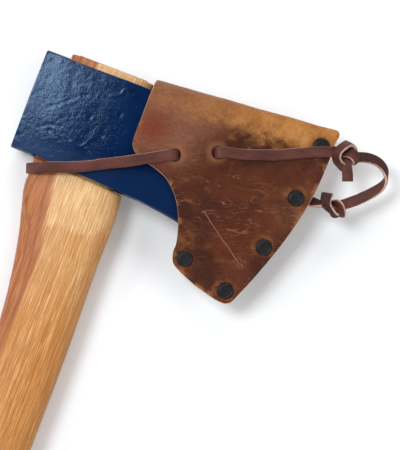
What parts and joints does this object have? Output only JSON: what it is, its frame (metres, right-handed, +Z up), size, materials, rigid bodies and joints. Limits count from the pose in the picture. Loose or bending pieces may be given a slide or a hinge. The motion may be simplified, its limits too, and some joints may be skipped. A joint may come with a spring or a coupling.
{
  "type": "felling axe",
  "caption": "Full-size felling axe with a forged painted head, curved wooden handle and a riveted leather bit sheath tied on with a lace.",
  "frame": {"origin": "centre of the footprint on the ground, with the axe lying on its side", "axes": "+X from the poll towards the cutting edge, +Y from the knob towards the top of the head, +Z up. The middle plane of the axe leans 2.7 degrees, poll side low, as it does when it really lies down."},
  "size_m": [0.2238, 0.814, 0.043],
  "materials": {
    "blue_paint": "gloss paint over a forged surface",
    "hickory": "oiled",
    "wedge_wood": "oiled end grain",
    "sheath_leather": "waxed pull-up leather",
    "black_rivet": "black oxide",
    "lace_leather": "waxed"
  },
  "bodies": {
    "axe": {"axe_head": "blue_paint", "handle": "hickory", "eye_wedge": "wedge_wood"},
    "sheath": {"sheath_leather": "sheath_leather", "rivet_studs": "black_rivet", "rivet_back_caps": "black_rivet", "lace": "lace_leather", "lace_loop": "lace_leather", "knot_upper": "lace_leather", "knot_lower": "lace_leather"}
  },
  "joints": [
    {"name": "sheath_slide", "type": "slide", "parent": "axe", "child": "sheath", "axis": [0.9934, 0.1045, 0.0475], "range_m": [0, 0.18], "deforming": ["lace"]}
  ]
}
